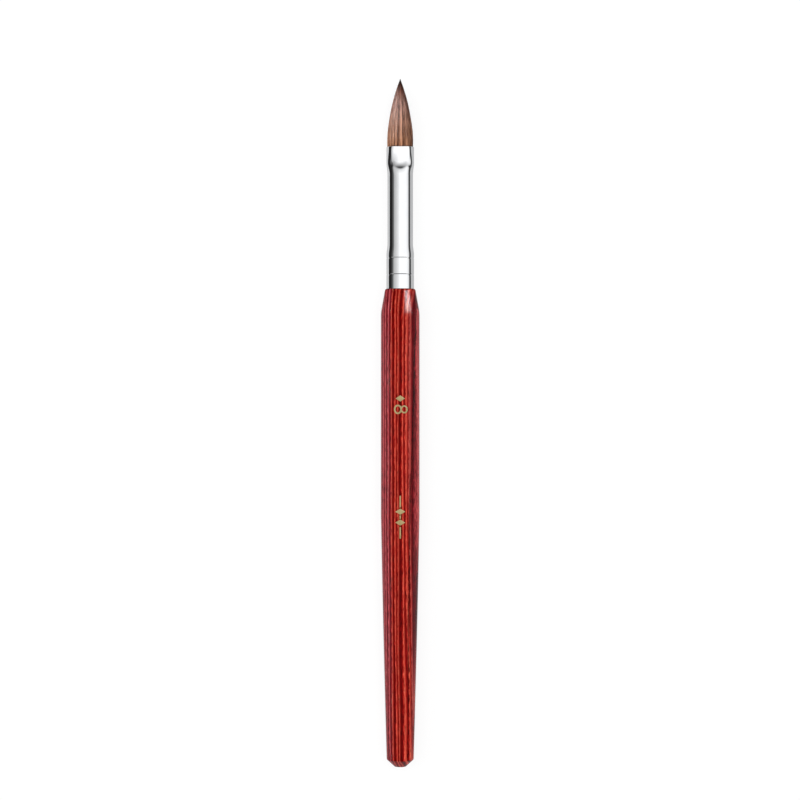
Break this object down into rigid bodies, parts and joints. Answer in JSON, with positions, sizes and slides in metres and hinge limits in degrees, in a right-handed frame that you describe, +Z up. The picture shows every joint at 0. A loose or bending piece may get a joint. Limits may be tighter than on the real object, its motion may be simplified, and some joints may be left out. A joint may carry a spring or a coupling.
{
  "type": "acrylic nail brush",
  "caption": "Nail brush for acrylic: round tapered laminated-wood handle, plated ferrule with a pressed oval mouth, and a pointed tuft of natural hair.",
  "frame": {"origin": "on the brush's axis, at the middle of the straight grip, where a stand or a hand holds it", "axes": "+Y along the brush's axis from the butt to the hair's tip, +Z up through one pressed face of the ferrule's mouth, +X across the brush"},
  "size_m": [0.01, 0.1781, 0.01],
  "materials": {
    "laminated_wood": "red and dark dyed layers under clear gloss lacquer",
    "plated_metal": "bright plated, polished",
    "hair": "straight brown natural hair with darker points",
    "thread": "twisted thread",
    "glue": "clear amber, set hard"
  },
  "bodies": {
    "root": {"handle": "laminated_wood", "tenon_cement": "glue", "ferrule": "plated_metal", "hair_tuft": "hair", "root_binding": "thread", "root_glue": "glue"}
  },
  "joints": []
}
